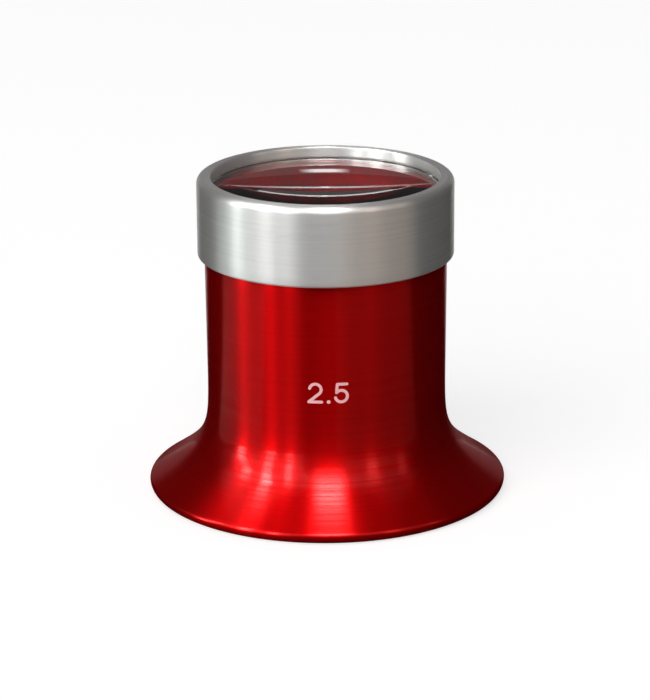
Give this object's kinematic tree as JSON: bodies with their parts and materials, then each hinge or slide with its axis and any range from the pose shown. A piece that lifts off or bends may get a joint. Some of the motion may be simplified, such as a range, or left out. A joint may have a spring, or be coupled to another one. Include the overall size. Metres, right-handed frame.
{
  "type": "watchmaker eye loupe",
  "caption": "Turned aluminium eye loupe: a flared red eyecup with a plain bore, and a screw-on natural bezel that holds a biconvex glass lens.",
  "frame": {"origin": "middle of the flare's resting edge, on the surface that the loupe stands on", "axes": "+Z along the optical axis, from the eye side to the lens side; the part is round about it, so X and Y are free"},
  "size_m": [0.039, 0.039, 0.0348],
  "materials": {
    "red_anodised": "satin",
    "natural_aluminium": "satin",
    "lens_glass": "polished",
    "spring_steel": "satin"
  },
  "bodies": {
    "eyecup": {"eyecup": "red_anodised"},
    "lens": {"lens": "lens_glass"},
    "bezel": {"bezel": "natural_aluminium", "snap_ring": "spring_steel"}
  },
  "joints": [
    {"name": "bezel_rise", "type": "slide", "parent": "eyecup", "child": "lens", "axis": [0, 0, 1], "range_m": [0, 0.00431]},
    {"name": "bezel_turn", "type": "hinge", "parent": "lens", "child": "bezel", "pos_m": [0, 0, 0.0305], "axis": [0, 0, 1], "range_deg": [0, 2070]}
  ],
  "couplings": [
    {"joint": "bezel_rise", "follows": "bezel_turn", "m_per_rad": 0.00011937}
  ]
}
